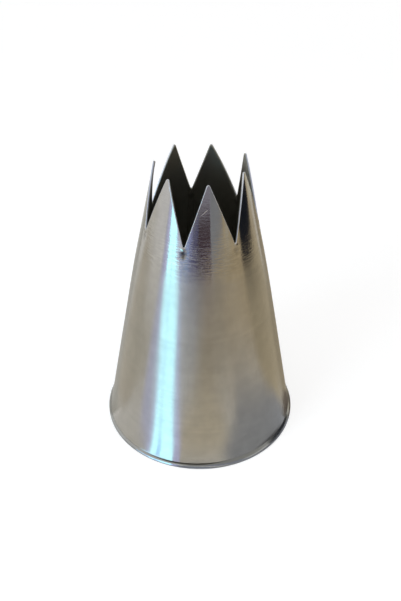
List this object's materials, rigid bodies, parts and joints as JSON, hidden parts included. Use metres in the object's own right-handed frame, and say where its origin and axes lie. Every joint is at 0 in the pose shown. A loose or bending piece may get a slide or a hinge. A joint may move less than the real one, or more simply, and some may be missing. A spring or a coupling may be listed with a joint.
{
  "type": "piping nozzle",
  "caption": "Large open star piping nozzle in stainless steel: a rolled cone with a crown of pointed teeth, a butt-welded back seam and a doubled rim.",
  "frame": {"origin": "centre of the wide end, in the plane that the rim stands on", "axes": "+Z along the nozzle's axis from the wide end to the teeth; -Y through one tooth; +Y through the back seam"},
  "size_m": [0.035, 0.035, 0.0515],
  "materials": {
    "sheet_steel": "satin stainless steel, turned lines round the cone",
    "weld_steel": "ground weld bead",
    "rim_steel": "satin stainless steel"
  },
  "bodies": {
    "root": {"cone_wall": "sheet_steel", "seam_weld": "weld_steel", "base_rim": "rim_steel"}
  },
  "joints": []
}
